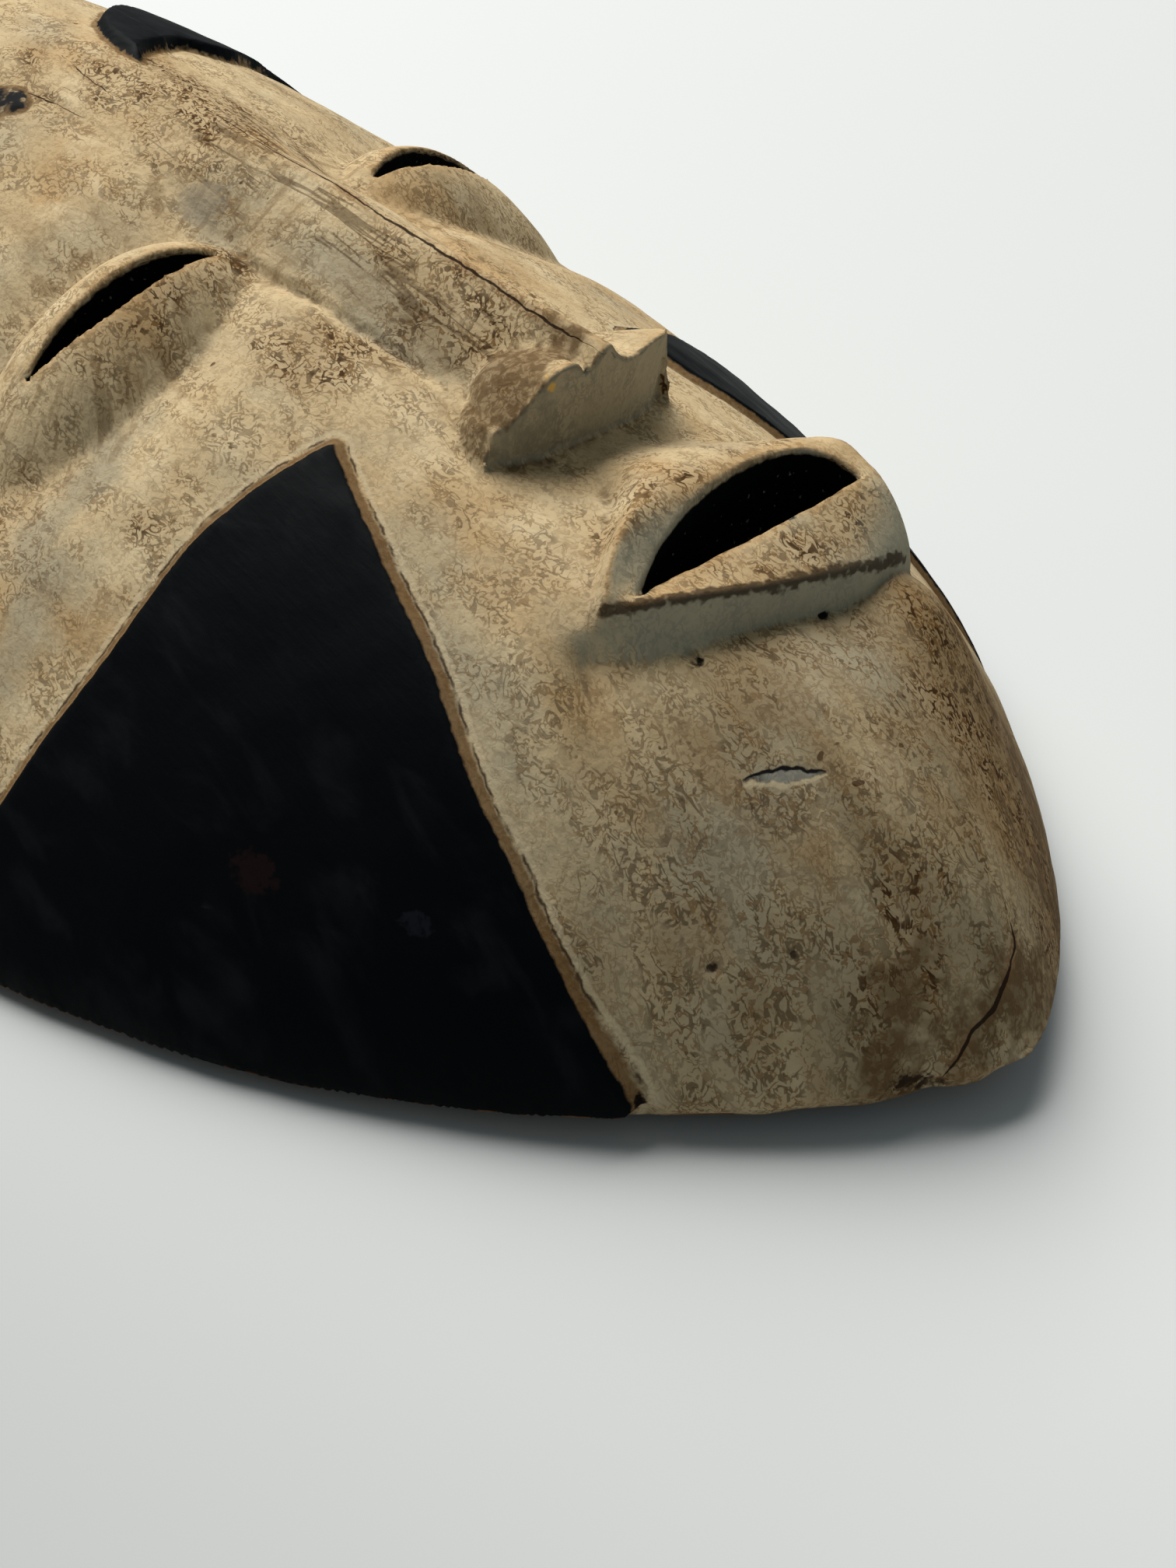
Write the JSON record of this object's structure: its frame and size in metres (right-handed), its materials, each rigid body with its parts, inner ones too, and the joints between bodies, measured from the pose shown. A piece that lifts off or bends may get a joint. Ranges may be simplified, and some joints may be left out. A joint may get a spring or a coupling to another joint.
{
  "type": "carved wooden face mask",
  "caption": "Carved wooden face mask lying face up, with an open hollow back, slit eyes, a cut-off wedge nose, an open mouth over a shelf lip, and dark cheek and brow fields.",
  "frame": {"origin": "on the resting plane under the middle of the mask's length and width", "axes": "+Z out of the face, +Y towards the forehead, +X towards the mask's own left cheek"},
  "size_m": [0.212, 0.305, 0.0975],
  "materials": {
    "painted_wood": "worn off-white and black paint, matte"
  },
  "bodies": {
    "root": {"mask": "painted_wood"}
  },
  "joints": []
}
